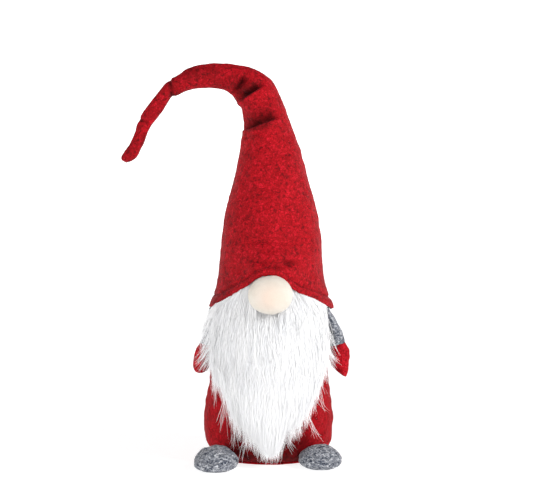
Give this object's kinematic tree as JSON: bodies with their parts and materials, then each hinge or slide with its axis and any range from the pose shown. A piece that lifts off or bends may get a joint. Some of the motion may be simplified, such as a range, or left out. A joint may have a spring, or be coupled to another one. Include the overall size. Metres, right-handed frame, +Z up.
{
  "type": "gnome figurine",
  "caption": "Stuffed felt gnome that stands on a weighted base, with felt arms and feet, a long fur beard, a round nose and a tall wired pointed hat that bends.",
  "frame": {"origin": "middle of the body's underside, on the table", "axes": "+Z up, the gnome faces -Y, +X is the gnome's own left"},
  "size_m": [0.2014, 0.1335, 0.3459],
  "materials": {
    "red_body_felt": "matt pressed craft felt, fine fibres",
    "red_hat_felt": "matt pressed craft felt, fine fibres",
    "red_mitten_felt": "matt pressed craft felt, fine fibres",
    "grey_heathered_felt": "matt heathered wool-blend felt, light and dark flecks",
    "beard_fur": "long-pile faux fur, soft low sheen",
    "fur_backing_knit": "matt knitted backing",
    "nose_jersey": "matt fine stretch jersey",
    "nose_thread": "matt cotton thread",
    "polyester_stuffing": "matt loose fibre",
    "sand": "dry fine sand",
    "pouch_cloth": "matt plain-weave cotton",
    "stiffener_card": "matt greyboard",
    "hat_wire": "plain drawn steel wire"
  },
  "bodies": {
    "body": {"body_shell": "red_body_felt", "base_disc": "red_body_felt", "base_stiffener": "stiffener_card", "ballast_pouch": "pouch_cloth", "ballast_sand": "sand", "body_stuffing": "polyester_stuffing", "left_foot_upper": "grey_heathered_felt", "left_foot_stuffing": "polyester_stuffing", "left_foot_sole": "grey_heathered_felt", "right_foot_upper": "grey_heathered_felt", "right_foot_stuffing": "polyester_stuffing", "right_foot_sole": "grey_heathered_felt", "left_sleeve_tab": "grey_heathered_felt", "right_sleeve_tab": "grey_heathered_felt", "nose_cover": "nose_jersey", "nose_stuffing": "polyester_stuffing", "nose_gather_knot": "nose_thread", "hat_cone_felt": "red_hat_felt", "hat_cone_stuffing": "polyester_stuffing", "hat_wire_cone": "hat_wire", "beard_top_backing": "fur_backing_knit", "beard_top_pile": "beard_fur"},
    "hat_arch": {"hat_arch_felt": "red_hat_felt", "hat_arch_stuffing": "polyester_stuffing", "hat_wire_arch": "hat_wire"},
    "hat_drop": {"hat_drop_felt": "red_hat_felt", "hat_drop_stuffing": "polyester_stuffing", "hat_wire_drop": "hat_wire"},
    "hat_tip": {"hat_tip_felt": "red_hat_felt", "hat_tip_stuffing": "polyester_stuffing", "hat_wire_tip": "hat_wire"},
    "left_arm": {"left_sleeve": "grey_heathered_felt", "left_sleeve_stuffing": "polyester_stuffing", "left_mitten": "red_mitten_felt", "left_mitten_stuffing": "polyester_stuffing"},
    "right_arm": {"right_sleeve": "grey_heathered_felt", "right_sleeve_stuffing": "polyester_stuffing", "right_mitten": "red_mitten_felt", "right_mitten_stuffing": "polyester_stuffing"},
    "beard": {"beard_backing": "fur_backing_knit", "beard_pile": "beard_fur"}
  },
  "joints": [
    {"name": "hat_elbow", "type": "hinge", "parent": "body", "child": "hat_arch", "pos_m": [-0.012, 0, 0.322], "axis": [0, 1, 0], "range_deg": [-25, 85]},
    {"name": "hat_bend_middle", "type": "hinge", "parent": "hat_arch", "child": "hat_drop", "pos_m": [-0.085, 0, 0.3236], "axis": [0, 1, 0], "range_deg": [-25, 60]},
    {"name": "hat_bend_tip", "type": "hinge", "parent": "hat_drop", "child": "hat_tip", "pos_m": [-0.1093, 0, 0.2945], "axis": [0, 1, 0], "range_deg": [-20, 45]},
    {"name": "left_shoulder", "type": "hinge", "parent": "body", "child": "left_arm", "pos_m": [0.0516, -0.006, 0.128], "axis": [0, -1, 0], "range_deg": [0, 50]},
    {"name": "right_shoulder", "type": "hinge", "parent": "body", "child": "right_arm", "pos_m": [-0.05, -0.006, 0.128], "axis": [0, 1, 0], "range_deg": [0, 70]},
    {"name": "beard_lift", "type": "hinge", "parent": "body", "child": "beard", "pos_m": [0, -0.043, 0.126], "axis": [-1, 0, 0], "range_deg": [0, 45]}
  ]
}
